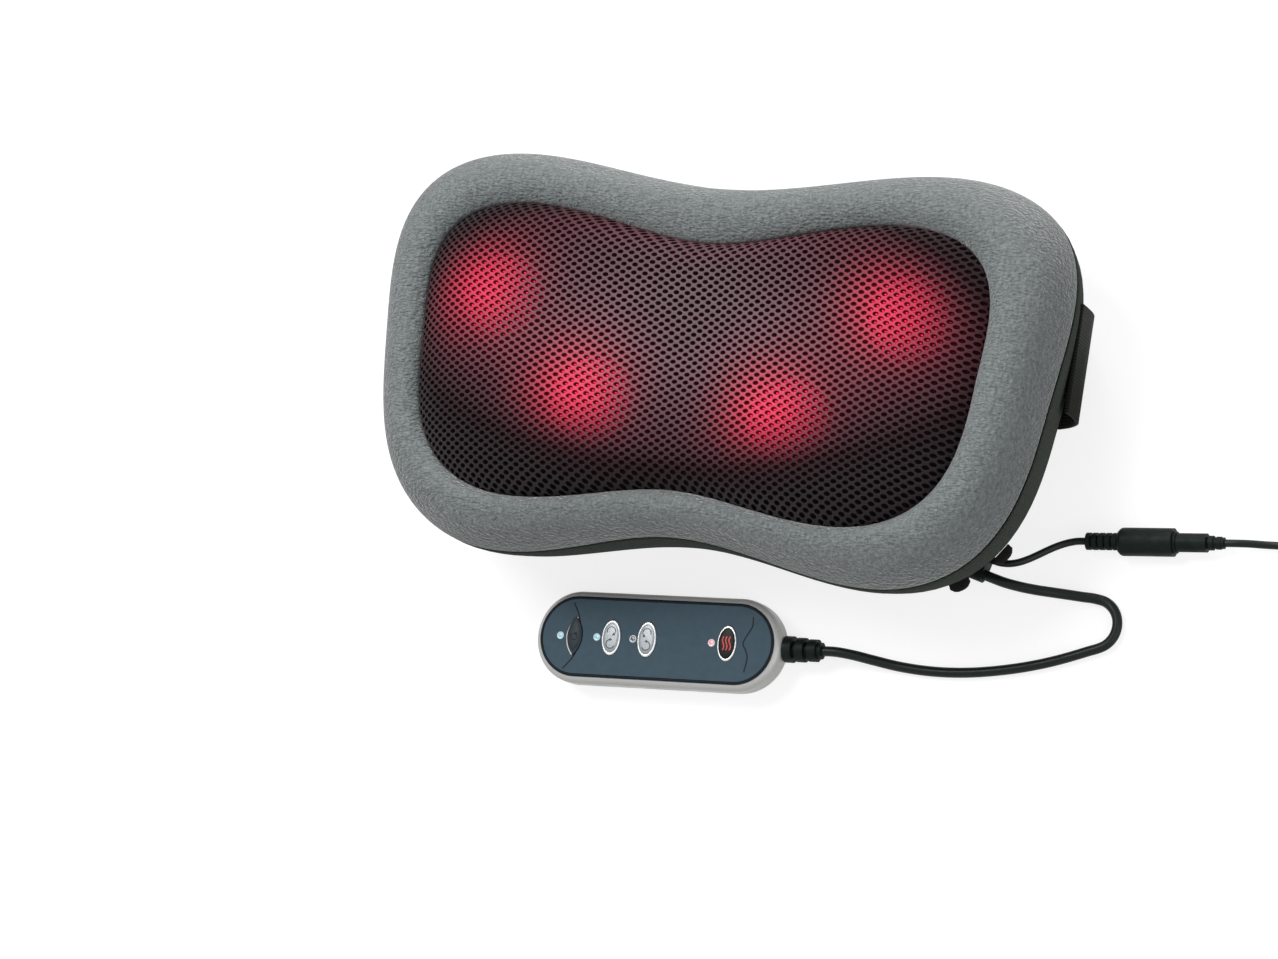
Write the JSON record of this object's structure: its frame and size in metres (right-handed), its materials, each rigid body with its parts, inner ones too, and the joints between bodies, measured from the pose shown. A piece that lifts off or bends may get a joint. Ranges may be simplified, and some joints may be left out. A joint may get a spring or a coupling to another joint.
{
  "type": "shiatsu neck massager",
  "caption": "Waisted shiatsu massage pillow with lit circling kneading heads under a mesh window, padded plush ring, wired handset and plug-in supply.",
  "frame": {"origin": "middle of the flat back, on the surface the pillow lies on", "axes": "+X along the long side to the cord exit's end, +Y towards the upper edge, +Z out of the massage face"},
  "size_m": [0.5994, 0.2547, 0.1049],
  "materials": {
    "plush": "short grey velour",
    "wall_fabric": "dark knit",
    "elastic": "ribbed black elastic",
    "mesh": "open black spacer mesh",
    "housing": "matte black ABS",
    "steel": "plain steel",
    "nylon": "natural nylon",
    "bronze": "sintered bronze",
    "copper": "bare copper",
    "board": "circuit board",
    "rim": "satin silver paint",
    "fascia": "satin slate blue",
    "indicator": "clear lens, lit",
    "silver_key": "satin silver",
    "black_key": "satin black",
    "cord_rubber": "black PVC",
    "tie": "black tie",
    "adapter": "matte black",
    "lit_head": "translucent red, lit from inside"
  },
  "bodies": {
    "pillow": {"back_cover": "wall_fabric", "strap": "elastic", "back_shell": "housing", "front_shell": "housing", "shell_screws": "steel", "chassis": "housing", "motor_can": "steel", "motor_end_caps": "nylon", "motor_clamp": "steel", "shaft_bearings": "bronze", "spindles": "steel", "spindle_nuts": "steel", "gear_cover": "housing", "gear_cover_screws": "steel", "brush_blocks": "copper", "control_board": "board", "plush_ring": "plush", "mesh_panel": "mesh", "cord_exit_tabs": "wall_fabric", "cord_gland": "cord_rubber", "handset_lower": "rim", "handset_upper": "rim", "handset_board": "board", "handset_screws": "steel", "fascia": "fascia", "indicator_lenses": "indicator", "handset_relief": "cord_rubber", "handset_cord": "cord_rubber", "supply_tail": "cord_rubber", "dc_socket": "cord_rubber"},
    "left_arm": {"worm_wheel_left": "nylon", "drive_hub_left": "housing", "bush_left": "bronze", "slip_ring_left": "copper", "arm_left": "housing", "arm_screws_left": "steel", "lamp_boards_left": "board", "heads_left": "lit_head"},
    "right_arm": {"worm_wheel_right": "nylon", "drive_hub_right": "housing", "bush_right": "bronze", "slip_ring_right": "copper", "arm_right": "housing", "arm_screws_right": "steel", "lamp_boards_right": "board", "heads_right": "lit_head"},
    "worm_shaft": {"motor_shaft": "steel", "worm_left": "steel", "worm_right": "steel"},
    "power_key": {"power_button": "fascia"},
    "knead_in_key": {"knead_in_button": "silver_key"},
    "knead_out_key": {"knead_out_button": "silver_key"},
    "heat_key": {"heat_button": "black_key"},
    "supply": {"dc_plug": "cord_rubber", "supply_lead": "cord_rubber", "supply_coil": "cord_rubber", "coil_tie": "tie", "adapter_case": "adapter", "adapter_pins": "steel", "adapter_boot": "cord_rubber"}
  },
  "joints": [
    {"name": "left_arm_spin", "type": "hinge", "parent": "pillow", "child": "left_arm", "pos_m": [-0.08, 0, 0.03], "axis": [0, 0, 1], "continuous": true},
    {"name": "right_arm_spin", "type": "hinge", "parent": "pillow", "child": "right_arm", "pos_m": [0.08, 0, 0.03], "axis": [0, 0, 1], "continuous": true},
    {"name": "worm_spin", "type": "hinge", "parent": "pillow", "child": "worm_shaft", "pos_m": [0, -0.037, 0.02795], "axis": [1, 0, 0], "continuous": true},
    {"name": "power_press", "type": "slide", "parent": "pillow", "child": "power_key", "axis": [0, 0, -1], "range_m": [0, 0.0008], "stiffness_N_per_m": 800, "springref_m": -0.0008},
    {"name": "knead_in_press", "type": "slide", "parent": "pillow", "child": "knead_in_key", "axis": [0, 0, -1], "range_m": [0, 0.0008], "stiffness_N_per_m": 800, "springref_m": -0.0008},
    {"name": "knead_out_press", "type": "slide", "parent": "pillow", "child": "knead_out_key", "axis": [0, 0, -1], "range_m": [0, 0.0008], "stiffness_N_per_m": 800, "springref_m": -0.0008},
    {"name": "heat_press", "type": "slide", "parent": "pillow", "child": "heat_key", "axis": [0, 0, -1], "range_m": [0, 0.0008], "stiffness_N_per_m": 800, "springref_m": -0.0008},
    {"name": "supply_pull", "type": "slide", "parent": "pillow", "child": "supply", "axis": [0.9969, 0.0785, 0], "range_m": [0, 0.012]}
  ],
  "couplings": [
    {"joint": "right_arm_spin", "follows": "left_arm_spin", "ratio": -1},
    {"joint": "worm_spin", "follows": "left_arm_spin", "ratio": -40}
  ]
}
